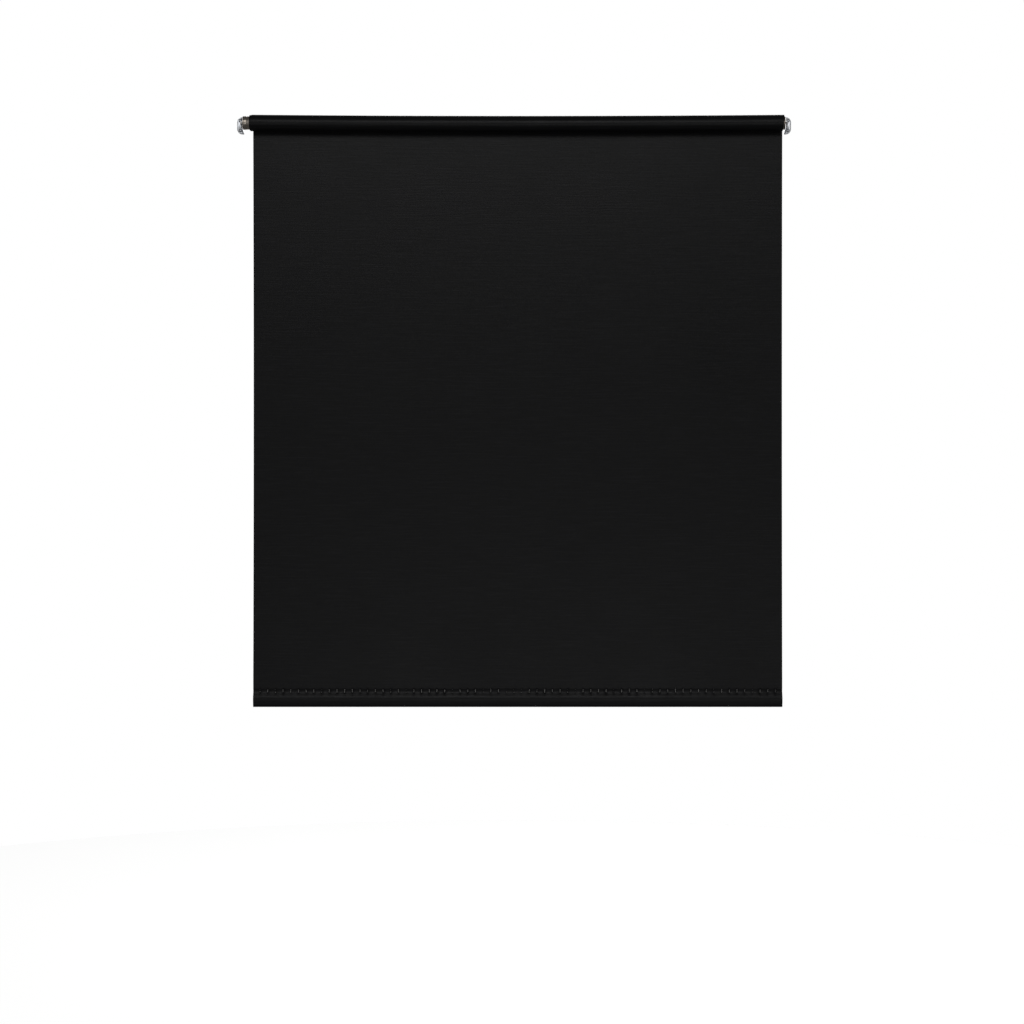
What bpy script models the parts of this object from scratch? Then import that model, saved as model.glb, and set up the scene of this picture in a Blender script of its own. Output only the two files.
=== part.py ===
"""A cordless roller blind: black room-darkening cloth on a spring roller, in two casing brackets.

Metres, +Z up. X runs along the roller, Y towards the wall. The origin is on the face of the
casing, at the height of the roller's axis and above the middle of the cloth.
"""

import math

import bmesh
import bpy

# Cloth
CLOTH_WIDTH = 0.9144
CLOTH_THICK = 0.00035
DROP = 1.006  # roller axis to the hem's lower edge
WOUND_THICK = 0.0026  # the layers of cloth on the tube

# Hem
SLAT_HEIGHT = 0.0200
SLAT_THICK = 0.0030
SLAT_INSET = 0.0030  # cloth edge to the slat's end
POCKET_HEADROOM = 0.0033  # room above the slat in its pocket
SEAM_HEIGHT = 0.0100  # the two layers above the pocket, which the thread joins
STITCH_PITCH = 0.0133
STITCH_HEIGHT = 0.0060
STITCH_LEAN = 0.00266  # how far a stitch moves along the seam as it climbs
THREAD_RADIUS = 0.00025

# Roller tube
TUBE_RADIUS = 0.0111
TUBE_WALL = 0.0006
TUBE_SHOWS_LEFT = 0.0085  # bare tube beyond the cloth
TUBE_SHOWS_RIGHT = 0.0006
TAPE_THICK = 0.00012
TAPE_ARC = math.radians(60)
TAPE_INSET = 0.0070
TAPE_GAP = 0.00005  # its glue

# Left end: ferrule with the pawl chamber in its collar
COLLAR_STEP = 0.0004  # collar beyond the tube's outside
COLLAR_LENGTH = 0.0062
COLLAR_WALL = 0.0012
CHAMBER_DEPTH = 0.0043
GUARD_THICK = 0.0008
GUARD_CLEARANCE = 0.0010  # guard's hole round the spindle
FERRULE_PLUG_LENGTH = 0.0160
BUSH_WALL = 0.0013
BUSH_LENGTH = 0.0150
LEFT_END_PLAY = 0.0014  # collar to bracket

# Ratchet
SPINDLE_RADIUS = 0.0032
SPEAR_THICK = 0.0016
SPEAR_PROUD = 0.0023  # spear beyond the bracket's outer face
SPINDLE_LENGTH = 0.0350
SPINDLE_CHAMFER = 0.0008
RATCHET_HUB_WALL = 0.0011  # metal between the spindle and a notch's floor
NOTCH_DEPTH = 0.0013
NOTCH_WALL_ANGLE = math.radians(97)
NOTCH_FLOOR_ARC = math.radians(16)
NOTCH_RAMP_ARC = math.radians(34)
PAWL_THICK = 0.0024
PAWL_PIVOT_ARC = math.radians(52)  # pivot behind the notch wall
PAWL_PIVOT_STEP = 0.0013  # pivot beyond the arm's inner side
PAWL_BOSS_RADIUS = 0.0016
PAWL_BOSS_BACK = math.radians(153)  # how far the boss's round goes on each side of its pivot
PAWL_BOSS_FRONT = math.radians(34)
PAWL_ARM_CLEARANCE = 0.0008  # ratchet to the arm's inner side
PAWL_ARM_THICK = 0.0013
PAWL_NOSE_ARC = math.radians(10.5)
PAWL_SWING = math.radians(18)
PAWL_ROOM = 0.0009  # least room between a pawl's boss and the collar's wall
RIVET_RADIUS = 0.0009

# Spring motor
SPRING_LENGTH = 0.330
SPRING_TURNS = 26
WIRE_RADIUS = 0.0007
SLEEVE_WALL = 0.00105
SLEEVE_LENGTH = 0.0110
ANCHOR_BOSS_LENGTH = 0.0140
ANCHOR_PLUG_LENGTH = 0.0160

# Right end
PIN_RADIUS = 0.0016
PIN_PROUD = 0.0025  # pin beyond the bracket's outer face
PIN_LENGTH = 0.0280
PIN_CHAMFER = 0.00056
END_PLUG_LENGTH = 0.0220
CAP_THICK = 0.0010
CAP_STEP = 0.0003  # cap beyond the tube's outside
CAP_HUB_RADIUS = 0.0030
CAP_HUB_LENGTH = 0.0008
RIGHT_END_PLAY = 0.0011  # cap's hub to bracket

# Brackets
STANDOFF = 0.0220  # casing to the roller's axis
PLATE_THICK = 0.0015
BASE_WIDTH = 0.0123
BASE_HEIGHT = 0.0300
BASE_CORNER = 0.0095
NOSE_RADIUS = 0.0090
BEND_RADIUS = 0.0022
EDGE_ROUND = 0.0002
SCREW_SPREAD = 0.0170  # between the two screws of one bracket
SCREW_RADIUS = 0.0016
SCREW_HEAD_RADIUS = 0.0030
SCREW_HEAD_HEIGHT = 0.0017
SCREW_LENGTH = 0.0160
SCREW_POINT_LENGTH = 0.0040
SCREW_POINT_RADIUS = 0.00136  # where the point starts

# Clearances
FACE_GAP = 0.0003  # between faces that rest on each other
FIT_GAP = 0.00015  # round a piece that is pressed or pushed in
RUNNING_GAP = 0.0001  # round a shaft that turns

# Smoothness
ROUND_STEPS = 40
SMALL_ROUND_STEPS = 32
SCREW_STEPS = 20
RIVET_STEPS = 16
CORNER_STEPS = 8
NOSE_STEPS = 16
TAPE_STEPS = 8
BEND_STEPS = 4
PAWL_STEPS = 12
RATCHET_STEPS = 20
SLOT_STEPS = 10
HEAD_STEPS = 6
SPRING_STEPS = 10
SMOOTH_ANGLE = math.radians(35)
RIM_ANGLE = math.radians(50)  # a corner sharper than this gets its rim rounded

CLOTH_LEFT = -CLOTH_WIDTH / 2
CLOTH_RIGHT = CLOTH_WIDTH / 2
TUBE_LEFT = CLOTH_LEFT - TUBE_SHOWS_LEFT
TUBE_RIGHT = CLOTH_RIGHT + TUBE_SHOWS_RIGHT
COLLAR_INNER = TUBE_LEFT - FACE_GAP
COLLAR_MOUTH = COLLAR_INNER - COLLAR_LENGTH
CHAMBER_FLOOR = COLLAR_MOUTH + CHAMBER_DEPTH
EAR_LEFT = COLLAR_MOUTH - LEFT_END_PLAY
CAP_FACE = TUBE_RIGHT + FACE_GAP + CAP_THICK
EAR_RIGHT = CAP_FACE + CAP_HUB_LENGTH + RIGHT_END_PLAY
SPINDLE_END = EAR_LEFT - PLATE_THICK - SPEAR_PROUD + SPINDLE_LENGTH
SPRING_START = SPINDLE_END - SLEEVE_LENGTH / 2 + WIRE_RADIUS + FACE_GAP
SPRING_END = SPRING_START + SPRING_LENGTH
TUBE_BORE = TUBE_RADIUS - TUBE_WALL
CAP_RADIUS = TUBE_RADIUS + CAP_STEP
ROLL_RADIUS = TUBE_RADIUS + FACE_GAP + WOUND_THICK
GUARD_HOLE_RADIUS = SPINDLE_RADIUS + GUARD_CLEARANCE
NOTCH_RADIUS = SPINDLE_RADIUS + RATCHET_HUB_WALL
RATCHET_RADIUS = NOTCH_RADIUS + NOTCH_DEPTH
PAWL_ARM_RADIUS = RATCHET_RADIUS + PAWL_ARM_CLEARANCE
PAWL_PIVOT_RADIUS = PAWL_ARM_RADIUS + PAWL_PIVOT_STEP
PAWL_REACH = PAWL_PIVOT_RADIUS + PAWL_BOSS_RADIUS + PAWL_ROOM
# The collar stops against the tube's end, and holds the pawls inside its wall.
COLLAR_RADIUS = max(TUBE_RADIUS + COLLAR_STEP, PAWL_REACH + COLLAR_WALL)
SPRING_RADIUS = SPINDLE_RADIUS + FIT_GAP + SLEEVE_WALL + FACE_GAP + WIRE_RADIUS
CLOTH_FRONT = ROLL_RADIUS + FIT_GAP  # behind the roller's axis
CLOTH_MIDDLE_Y = -STANDOFF + CLOTH_FRONT + CLOTH_THICK
POCKET_HALF = SLAT_THICK / 2 + FACE_GAP + CLOTH_THICK
POCKET_HEIGHT = SLAT_HEIGHT + POCKET_HEADROOM + 2 * (FACE_GAP + CLOTH_THICK)
POCKET_TOP = -DROP + POCKET_HEIGHT
SEAM_TOP = POCKET_TOP + SEAM_HEIGHT


def clear_scene():
    for thing in list(bpy.data.objects):
        bpy.data.objects.remove(thing, do_unlink=True)


def material(name, colour, roughness, metallic=0.0):
    made = bpy.data.materials.new(name)
    made.use_nodes = True
    shader = made.node_tree.nodes["Principled BSDF"]
    shader.inputs["Base Color"].default_value = (*colour, 1.0)
    shader.inputs["Roughness"].default_value = roughness
    shader.inputs["Metallic"].default_value = metallic
    return made


def empty(name, location, parent=None, turn=0.0):
    """A centre that pieces hang on; turn is about X."""
    made = bpy.data.objects.new(name, None)
    bpy.context.scene.collection.objects.link(made)
    made.parent = parent
    made.location = location
    made.rotation_euler.x = turn
    return made


def piece(name, shape, finish, parent, location=(0.0, 0.0, 0.0), smooth=True):
    """An object from a bmesh, with its faces turned outwards."""
    bmesh.ops.recalc_face_normals(shape, faces=shape.faces)
    mesh = bpy.data.meshes.new(name)
    shape.to_mesh(mesh)
    shape.free()
    if smooth:
        mesh.shade_smooth()
        mesh.set_sharp_from_angle(angle=SMOOTH_ANGLE)
    mesh.materials.append(finish)
    made = bpy.data.objects.new(name, mesh)
    bpy.context.scene.collection.objects.link(made)
    made.parent = parent
    made.location = location
    return made


def hide_cutter(cutter):
    cutter.hide_render = True
    cutter.display_type = "WIRE"


def cut(body, cutter):
    change = body.modifiers.new(cutter.name, "BOOLEAN")
    change.operation = "DIFFERENCE"
    change.solver = "EXACT"
    change.object = cutter
    hide_cutter(cutter)


def turned_shape(outline, steps, ring):
    """Outline points (x, radius) spun about the X axis. A ring's outline closes on itself, and a
    solid's starts and ends on the axis."""
    shape = bmesh.new()
    corners = [shape.verts.new((x, 0.0, radius)) for x, radius in outline]
    pairs = list(zip(corners, corners[1:]))
    if ring:
        pairs.append((corners[-1], corners[0]))
    edges = [shape.edges.new(pair) for pair in pairs]
    bmesh.ops.spin(
        shape,
        geom=corners + edges,
        cent=(0.0, 0.0, 0.0),
        axis=(1.0, 0.0, 0.0),
        angle=2 * math.pi,
        steps=steps,
        use_merge=True,
    )
    bmesh.ops.remove_doubles(shape, verts=shape.verts, dist=1e-7)
    return shape


def ring_shape(start, end, inner, outer, steps=ROUND_STEPS):
    outline = [(start, outer), (end, outer), (end, inner), (start, inner)]
    return turned_shape(outline, steps, ring=True)


def prism_shape(outline, start, end):
    """Outline points (y, z), going round once, extruded along X from start to end."""
    shape = bmesh.new()
    corners = [shape.verts.new((start, y, z)) for y, z in outline]
    face = shape.faces.new(corners)
    made = bmesh.ops.extrude_face_region(shape, geom=[face])["geom"]
    moved = [part for part in made if isinstance(part, bmesh.types.BMVert)]
    bmesh.ops.translate(shape, verts=moved, vec=(end - start, 0.0, 0.0))
    return shape


def sleeve_shape(outer, inner, start, end):
    """A tube of any section along X: outer and inner are outlines (y, z) of equal length."""
    shape = bmesh.new()
    loops = []
    for x in (start, end):
        for outline in (outer, inner):
            loops.append([shape.verts.new((x, y, z)) for y, z in outline])
    near_outer, near_inner, far_outer, far_inner = loops
    sides = (
        (near_outer, near_inner),
        (near_outer, far_outer),
        (near_inner, far_inner),
        (far_outer, far_inner),
    )
    for a, b in sides:
        for i in range(len(a)):
            j = (i + 1) % len(a)
            shape.faces.new((a[i], a[j], b[j], b[i]))
    return shape


def polar(radius, angle):
    """(y, z) at this radius and angle about the roller's axis, from +Y towards +Z."""
    return radius * math.cos(angle), radius * math.sin(angle)


def arc(radius, start, end, steps, centre=(0.0, 0.0)):
    points = []
    for i in range(steps + 1):
        y, z = polar(radius, start + (end - start) * i / steps)
        points.append((centre[0] + y, centre[1] + z))
    return points


# ---------------------------------------------------------------- brackets


def ear_outline():
    """The bracket's side face (y, z): as tall as its base at the casing, closing on a round nose
    about the roller's axis."""
    half = BASE_HEIGHT / 2
    reach = math.hypot(STANDOFF, half)
    touch = math.atan2(half, STANDOFF) + math.acos(NOSE_RADIUS / reach)
    around = (touch, 2 * math.pi - touch)
    nose = arc(NOSE_RADIUS, *around, NOSE_STEPS, centre=(-STANDOFF, 0.0))
    return [(0.0, half), *nose, (0.0, -half)]


def base_outline(ear_x, side):
    """The base's outline (x, z) from its lower corner at the ear, round the outer corners, to its
    upper one."""
    half = BASE_HEIGHT / 2
    outer = BASE_WIDTH - BASE_CORNER
    quarter = math.pi / 2
    lower_centre, upper_centre = (outer, BASE_CORNER - half), (outer, half - BASE_CORNER)
    lower = arc(BASE_CORNER, -quarter, 0.0, CORNER_STEPS, lower_centre)
    upper = arc(BASE_CORNER, 0.0, quarter, CORNER_STEPS, upper_centre)
    return [(ear_x + side * x, z) for x, z in lower + upper]


def bracket(name, side, ear_x, finish, parent):
    """A stamped bracket: side is -1 for the left one and 1 for the right one."""
    shape = bmesh.new()
    ear = [shape.verts.new((ear_x, y, z)) for y, z in ear_outline()]
    top, bottom = ear[0], ear[-1]
    base = [shape.verts.new((x, 0.0, z)) for x, z in base_outline(ear_x, side)]
    ear_face = shape.faces.new(ear)
    base_face = shape.faces.new([bottom, *base, top])
    bmesh.ops.recalc_face_normals(shape, faces=shape.faces)
    if base_face.normal.y < 0:
        bmesh.ops.reverse_faces(shape, faces=[ear_face, base_face])
    bend = shape.edges.get((top, bottom))
    bmesh.ops.bevel(
        shape,
        geom=[bend],
        offset=BEND_RADIUS,
        offset_type="OFFSET",
        segments=BEND_STEPS,
        profile=0.5,
        affect="EDGES",
    )
    mesh = bpy.data.meshes.new(name)
    shape.to_mesh(mesh)
    shape.free()
    mesh.materials.append(finish)
    made = bpy.data.objects.new(name, mesh)
    bpy.context.scene.collection.objects.link(made)
    made.parent = parent
    wall = made.modifiers.new("plate", "SOLIDIFY")
    wall.thickness = PLATE_THICK
    wall.offset = -1.0
    wall.use_even_offset = True
    for z in (-SCREW_SPREAD / 2, SCREW_SPREAD / 2):
        hole = piece(
            f"{name}_screw_hole_cutter",
            turned_shape(
                [
                    (-PLATE_THICK, 0.0),
                    (-PLATE_THICK, SCREW_RADIUS + FACE_GAP),
                    (2 * PLATE_THICK, SCREW_RADIUS + FACE_GAP),
                    (2 * PLATE_THICK, 0.0),
                ],
                SMALL_ROUND_STEPS,
                ring=False,
            ),
            finish,
            parent,
            (screw_x(side, ear_x), 0.0, z),
        )
        hole.rotation_euler.z = -math.pi / 2
        cut(made, hole)
    return made


def screw_x(side, ear_x):
    return ear_x + side * (PLATE_THICK + BASE_WIDTH) / 2


def round_edges(body):
    """Rounds a stamped piece's sharp rims, as tumbling does."""
    change = body.modifiers.new("rims", "BEVEL")
    change.width = EDGE_ROUND
    change.segments = 1
    change.limit_method = "ANGLE"
    change.angle_limit = RIM_ANGLE


def slot_cutter(finish, parent):
    """An open-topped slot for the flat spear, with a round foot just under it."""
    half = SPEAR_THICK / 2 + FACE_GAP
    foot_z = -SPINDLE_RADIUS - FACE_GAP + half
    outline = arc(half, -math.pi, 0.0, SLOT_STEPS, centre=(-STANDOFF, foot_z))
    top = 2 * NOSE_RADIUS
    outline += [(-STANDOFF + half, top), (-STANDOFF - half, top)]
    near, far = EAR_LEFT - 2 * PLATE_THICK, EAR_LEFT + PLATE_THICK
    return piece("spear_slot_cutter", prism_shape(outline, near, far), finish, parent)


def pin_hole_cutter(finish, parent):
    radius = PIN_RADIUS + RUNNING_GAP
    near, far = EAR_RIGHT - PLATE_THICK, EAR_RIGHT + 2 * PLATE_THICK
    outline = [(near, 0.0), (near, radius), (far, radius), (far, 0.0)]
    shape = turned_shape(outline, SMALL_ROUND_STEPS, ring=False)
    return piece("pin_hole_cutter", shape, finish, parent, (0.0, -STANDOFF, 0.0))


def screw(name, side, ear_x, z, finish, parent):
    """A pan-head wood screw whose shank goes through the base into the casing."""
    under = -PLATE_THICK - FACE_GAP
    top = under - SCREW_HEAD_HEIGHT
    dome = [
        (top + SCREW_HEAD_HEIGHT * (1 - math.cos(a)), SCREW_HEAD_RADIUS * math.sin(a))
        for a in (math.pi / 2 * i / HEAD_STEPS for i in range(HEAD_STEPS))
    ]
    outline = [
        *dome,
        (under, SCREW_HEAD_RADIUS),
        (under, SCREW_RADIUS),
        (under + SCREW_LENGTH - SCREW_POINT_LENGTH, SCREW_POINT_RADIUS),
        (under + SCREW_LENGTH, 0.0),
    ]
    made = piece(
        name,
        turned_shape(outline, SCREW_STEPS, ring=False),
        finish,
        parent,
        (screw_x(side, ear_x), 0.0, z),
    )
    made.rotation_euler.z = math.pi / 2
    return made


# ---------------------------------------------------------------- spring motor, held by the left bracket


def spindle(finish, parent):
    """A round bar, milled to a flat vertical spear where it lies in the bracket's slot."""
    tip = EAR_LEFT - PLATE_THICK - SPEAR_PROUD
    outline = [
        (tip, 0.0),
        (tip, SPINDLE_RADIUS - SPINDLE_CHAMFER),
        (tip + SPINDLE_CHAMFER, SPINDLE_RADIUS),
        (SPINDLE_END, SPINDLE_RADIUS),
        (SPINDLE_END, 0.0),
    ]
    shape = turned_shape(outline, SMALL_ROUND_STEPS, ring=False)
    made = piece("spear_spindle", shape, finish, parent)
    shoulder = EAR_LEFT + LEFT_END_PLAY / 2
    for side in (-1, 1):
        near, far = SPEAR_THICK / 2, 2 * SPINDLE_RADIUS
        outline = [
            (side * near, -far),
            (side * far, -far),
            (side * far, far),
            (side * near, far),
        ]
        flat = piece(
            "spear_flat_cutter",
            prism_shape(outline, tip - SPINDLE_CHAMFER, shoulder),
            finish,
            parent,
            smooth=False,
        )
        cut(made, flat)
    return made


def pawl_plane():
    """Where the ratchet and the pawls start and end along X, midway in their chamber."""
    middle = (COLLAR_MOUTH + GUARD_THICK + CHAMBER_FLOOR) / 2
    return middle - PAWL_THICK / 2, middle + PAWL_THICK / 2


def ratchet(finish, parent):
    """A wheel with two notches, each a wall that stops the pawls one way and a ramp the other."""
    outline = []
    for turn in (0.0, math.pi):
        wall = NOTCH_WALL_ANGLE + turn
        floor_start = wall - NOTCH_FLOOR_ARC
        ramp_start = floor_start - NOTCH_RAMP_ARC
        outline += arc(RATCHET_RADIUS, wall - math.pi, ramp_start, RATCHET_STEPS)
        outline += arc(NOTCH_RADIUS, floor_start, wall, 3)
    bore = arc(SPINDLE_RADIUS + FIT_GAP, 0.0, 2 * math.pi, SMALL_ROUND_STEPS)[:-1]
    start, end = pawl_plane()
    made = piece("ratchet_wheel", prism_shape(outline, start, end), finish, parent)
    hole = prism_shape(bore, start - PAWL_THICK, end + PAWL_THICK)
    cut(made, piece("ratchet_bore_cutter", hole, finish, parent))
    return made


def arbor(finish, parent):
    start = SPINDLE_END + FACE_GAP
    end = SPRING_END + ANCHOR_PLUG_LENGTH / 2
    outline = [(start, 0.0), (start, SPINDLE_RADIUS), (end, SPINDLE_RADIUS), (end, 0.0)]
    shape = turned_shape(outline, SMALL_ROUND_STEPS, ring=False)
    return piece("spring_arbor", shape, finish, parent)


def arbor_sleeve(finish, parent):
    """Joins the arbor to the spindle, and takes the spring's first coil."""
    inner = SPINDLE_RADIUS + FIT_GAP
    start = SPINDLE_END - SLEEVE_LENGTH / 2
    end = start + SLEEVE_LENGTH
    shape = ring_shape(start, end, inner, inner + SLEEVE_WALL, SMALL_ROUND_STEPS)
    return piece("arbor_sleeve", shape, finish, parent)


def torsion_spring(finish, parent):
    """An open helix; the real spring has many more turns, close together."""
    path = bpy.data.curves.new("torsion_spring", "CURVE")
    path.dimensions = "3D"
    path.bevel_depth = WIRE_RADIUS
    path.bevel_resolution = 0
    path.use_fill_caps = True
    count = SPRING_TURNS * SPRING_STEPS + 1
    line = path.splines.new("POLY")
    line.points.add(count - 1)
    for i, point in enumerate(line.points):
        angle = 2 * math.pi * i / SPRING_STEPS
        y, z = polar(SPRING_RADIUS, angle)
        x = SPRING_START + SPRING_LENGTH * i / (count - 1)
        point.co = (x, y, z, 1.0)
    path.materials.append(finish)
    made = bpy.data.objects.new("torsion_spring", path)
    bpy.context.scene.collection.objects.link(made)
    made.parent = parent
    return made


# ---------------------------------------------------------------- roller


def roller_tube(finish, parent):
    shape = ring_shape(TUBE_LEFT, TUBE_RIGHT, TUBE_BORE, TUBE_RADIUS)
    return piece("roller_tube", shape, finish, parent)


def left_ferrule(finish, parent):
    """A plug in the tube's end, with a collar outside it that is open towards the bracket."""
    plug_radius = TUBE_BORE - FIT_GAP
    bore = SPINDLE_RADIUS + RUNNING_GAP + BUSH_WALL + FIT_GAP
    outline = [
        (COLLAR_MOUTH, COLLAR_RADIUS),
        (COLLAR_INNER, COLLAR_RADIUS),
        (COLLAR_INNER, plug_radius),
        (COLLAR_INNER + FERRULE_PLUG_LENGTH, plug_radius),
        (COLLAR_INNER + FERRULE_PLUG_LENGTH, bore),
        (CHAMBER_FLOOR, bore),
        (CHAMBER_FLOOR, COLLAR_RADIUS - COLLAR_WALL),
        (COLLAR_MOUTH, COLLAR_RADIUS - COLLAR_WALL),
    ]
    shape = turned_shape(outline, ROUND_STEPS, ring=True)
    return piece("left_ferrule", shape, finish, parent)


def spindle_bush(finish, parent):
    bore = SPINDLE_RADIUS + RUNNING_GAP
    start = CHAMBER_FLOOR + FACE_GAP
    shape = ring_shape(
        start, start + BUSH_LENGTH, bore, bore + BUSH_WALL, SMALL_ROUND_STEPS
    )
    return piece("spindle_bush", shape, finish, parent)


def pawl_guard(finish, parent):
    """A washer pressed into the collar's mouth, which keeps the pawls on their rivets."""
    outer = COLLAR_RADIUS - COLLAR_WALL - FIT_GAP
    shape = ring_shape(
        COLLAR_MOUTH, COLLAR_MOUTH + GUARD_THICK, GUARD_HOLE_RADIUS, outer
    )
    return piece("pawl_guard", shape, finish, parent)


def pawl_pivot(turn):
    """The pivot's (y, z) from the roller's axis."""
    angle = NOTCH_WALL_ANGLE - PAWL_PIVOT_ARC + turn
    return polar(PAWL_PIVOT_RADIUS, angle)


def pawl_outline():
    """A pawl with its nose in the notch, (y, z) from its own pivot."""
    lead = NOTCH_WALL_ANGLE - FACE_GAP / NOTCH_RADIUS
    trail = lead - PAWL_NOSE_ARC
    tip = NOTCH_RADIUS + FACE_GAP
    back = PAWL_ARM_RADIUS + PAWL_ARM_THICK
    pivot_angle = NOTCH_WALL_ANGLE - PAWL_PIVOT_ARC
    centre_y, centre_z = pawl_pivot(0.0)
    boss = arc(
        PAWL_BOSS_RADIUS,
        pivot_angle - PAWL_BOSS_BACK,
        pivot_angle + PAWL_BOSS_FRONT,
        PAWL_STEPS,
    )
    points = [
        polar(PAWL_ARM_RADIUS, trail - PAWL_NOSE_ARC),
        polar(PAWL_ARM_RADIUS, trail),
        polar(tip, trail),
        polar(tip, lead),
        polar(back, lead),
        polar(back, trail - PAWL_NOSE_ARC),
    ]
    nose = [(y - centre_y, z - centre_z) for y, z in points]
    return boss + nose[::-1]


def pawl(name, finish, pivot):
    """Stored swung clear of the ratchet; its pivot is the parent empty."""
    start, end = pawl_plane()
    shape = prism_shape(pawl_outline(), start, end)
    made = piece(name, shape, finish, pivot)
    made.rotation_euler.x = -PAWL_SWING
    radius = RIVET_RADIUS + RUNNING_GAP
    hole = arc(radius, 0.0, 2 * math.pi, RIVET_STEPS)[:-1]
    bore = piece(
        f"{name}_bore_cutter",
        prism_shape(hole, start - PAWL_THICK, end + PAWL_THICK),
        finish,
        pivot,
    )
    cut(made, bore)
    return made


def pawl_rivet(name, finish, pivot):
    start = COLLAR_MOUTH + GUARD_THICK + FACE_GAP
    end = CHAMBER_FLOOR - FACE_GAP
    outline = [(start, 0.0), (start, RIVET_RADIUS), (end, RIVET_RADIUS), (end, 0.0)]
    return piece(name, turned_shape(outline, RIVET_STEPS, ring=False), finish, pivot)


def spring_anchor(finish, parent):
    """Fixed in the tube: its boss takes the spring's last coil, and its bore the arbor's end."""
    bore = SPINDLE_RADIUS + RUNNING_GAP
    boss = SPINDLE_RADIUS + FIT_GAP + SLEEVE_WALL
    shoulder = SPRING_END + WIRE_RADIUS + FACE_GAP
    outline = [
        (shoulder - ANCHOR_BOSS_LENGTH, boss),
        (shoulder, boss),
        (shoulder, TUBE_BORE - FIT_GAP),
        (shoulder + ANCHOR_PLUG_LENGTH, TUBE_BORE - FIT_GAP),
        (shoulder + ANCHOR_PLUG_LENGTH, bore),
        (shoulder - ANCHOR_BOSS_LENGTH, bore),
    ]
    shape = turned_shape(outline, SMALL_ROUND_STEPS, ring=True)
    return piece("spring_anchor_plug", shape, finish, parent)


def right_end_plug(finish, parent):
    end = TUBE_RIGHT
    bore = PIN_RADIUS + FIT_GAP
    shape = ring_shape(
        end - END_PLUG_LENGTH, end, bore, TUBE_BORE - FIT_GAP, SMALL_ROUND_STEPS
    )
    return piece("right_end_plug", shape, finish, parent)


def right_end_cap(finish, parent):
    bore = PIN_RADIUS + FIT_GAP
    back = CAP_FACE - CAP_THICK
    outline = [
        (back, CAP_RADIUS),
        (CAP_FACE, CAP_RADIUS),
        (CAP_FACE, CAP_HUB_RADIUS),
        (CAP_FACE + CAP_HUB_LENGTH, CAP_HUB_RADIUS),
        (CAP_FACE + CAP_HUB_LENGTH, bore),
        (back, bore),
    ]
    shape = turned_shape(outline, ROUND_STEPS, ring=True)
    return piece("right_end_cap", shape, finish, parent)


def gudgeon_pin(finish, parent):
    tip = EAR_RIGHT + PLATE_THICK + PIN_PROUD
    outline = [
        (tip - PIN_LENGTH, 0.0),
        (tip - PIN_LENGTH, PIN_RADIUS),
        (tip - PIN_CHAMFER, PIN_RADIUS),
        (tip, PIN_RADIUS - PIN_CHAMFER),
        (tip, 0.0),
    ]
    shape = turned_shape(outline, SMALL_ROUND_STEPS, ring=False)
    return piece("gudgeon_pin", shape, finish, parent)


def fixing_tape(finish, parent):
    """The strip that holds the cloth's top edge to the tube."""
    inner = TUBE_RADIUS + TAPE_GAP
    outer = inner + TAPE_THICK
    below = arc(inner, 0.0, TAPE_ARC, TAPE_STEPS)
    outline = below + arc(outer, TAPE_ARC, 0.0, TAPE_STEPS)
    start, end = CLOTH_LEFT + TAPE_INSET, CLOTH_RIGHT - TAPE_INSET
    return piece("fixing_tape", prism_shape(outline, start, end), finish, parent)


def wound_cloth(finish, parent):
    inner = TUBE_RADIUS + FACE_GAP
    shape = ring_shape(CLOTH_LEFT, CLOTH_RIGHT, inner, ROLL_RADIUS)
    return piece("wound_cloth", shape, finish, parent)


# ---------------------------------------------------------------- hanging cloth and hem


def hanging_cloth(finish, hem):
    """From the back of the roll down to the hem's seam; z is counted from the hem's centre."""
    front, back = -CLOTH_THICK, 0.0
    top, foot = -hem.location.z, SEAM_TOP + FACE_GAP - hem.location.z
    outline = [(front, foot), (back, foot), (back, top), (front, top)]
    shape = prism_shape(outline, CLOTH_LEFT, CLOTH_RIGHT)
    return piece("hanging_cloth", shape, finish, hem, smooth=False)


def pocket_outline(half, foot, slope_foot, slope_top, top, top_half):
    """A flat bag (y, z): round below, straight sides, and shoulders that close to its seam."""
    below = arc(half, -math.pi, 0.0, CORNER_STEPS, centre=(0.0, foot + half))
    return [
        *below,
        (half, slope_foot),
        (top_half, slope_top),
        (top_half, top),
        (-top_half, top),
        (-top_half, slope_top),
        (-half, slope_foot),
    ]


def hem_pocket(finish, hem):
    """The cloth folded back on itself round the slat, and its two layers above the pocket."""
    base = hem.location.z
    inner_half = POCKET_HALF - CLOTH_THICK
    shoulder = POCKET_TOP - POCKET_HEADROOM
    outer = pocket_outline(
        POCKET_HALF,
        -DROP - base,
        shoulder - base,
        POCKET_TOP - base,
        SEAM_TOP - base,
        CLOTH_THICK,
    )
    slit = CLOTH_THICK / 4
    inner = pocket_outline(
        inner_half,
        -DROP + CLOTH_THICK - base,
        shoulder - base,
        POCKET_TOP - 4 * CLOTH_THICK - base,
        POCKET_TOP - 2 * CLOTH_THICK - base,
        slit,
    )
    shape = sleeve_shape(outer, inner, CLOTH_LEFT, CLOTH_RIGHT)
    return piece("hem_pocket", shape, finish, hem)


def hem_slat(finish, hem):
    """A wooden slat with round edges, loose in its pocket."""
    half = SLAT_THICK / 2
    foot = -DROP + CLOTH_THICK + FACE_GAP - hem.location.z
    top = foot + SLAT_HEIGHT
    below = arc(half, -math.pi, 0.0, CORNER_STEPS, centre=(0.0, foot + half))
    above = arc(half, 0.0, math.pi, CORNER_STEPS, centre=(0.0, top - half))
    start, end = CLOTH_LEFT + SLAT_INSET, CLOTH_RIGHT - SLAT_INSET
    return piece("hem_slat", prism_shape(below + above, start, end), finish, hem)


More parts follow.
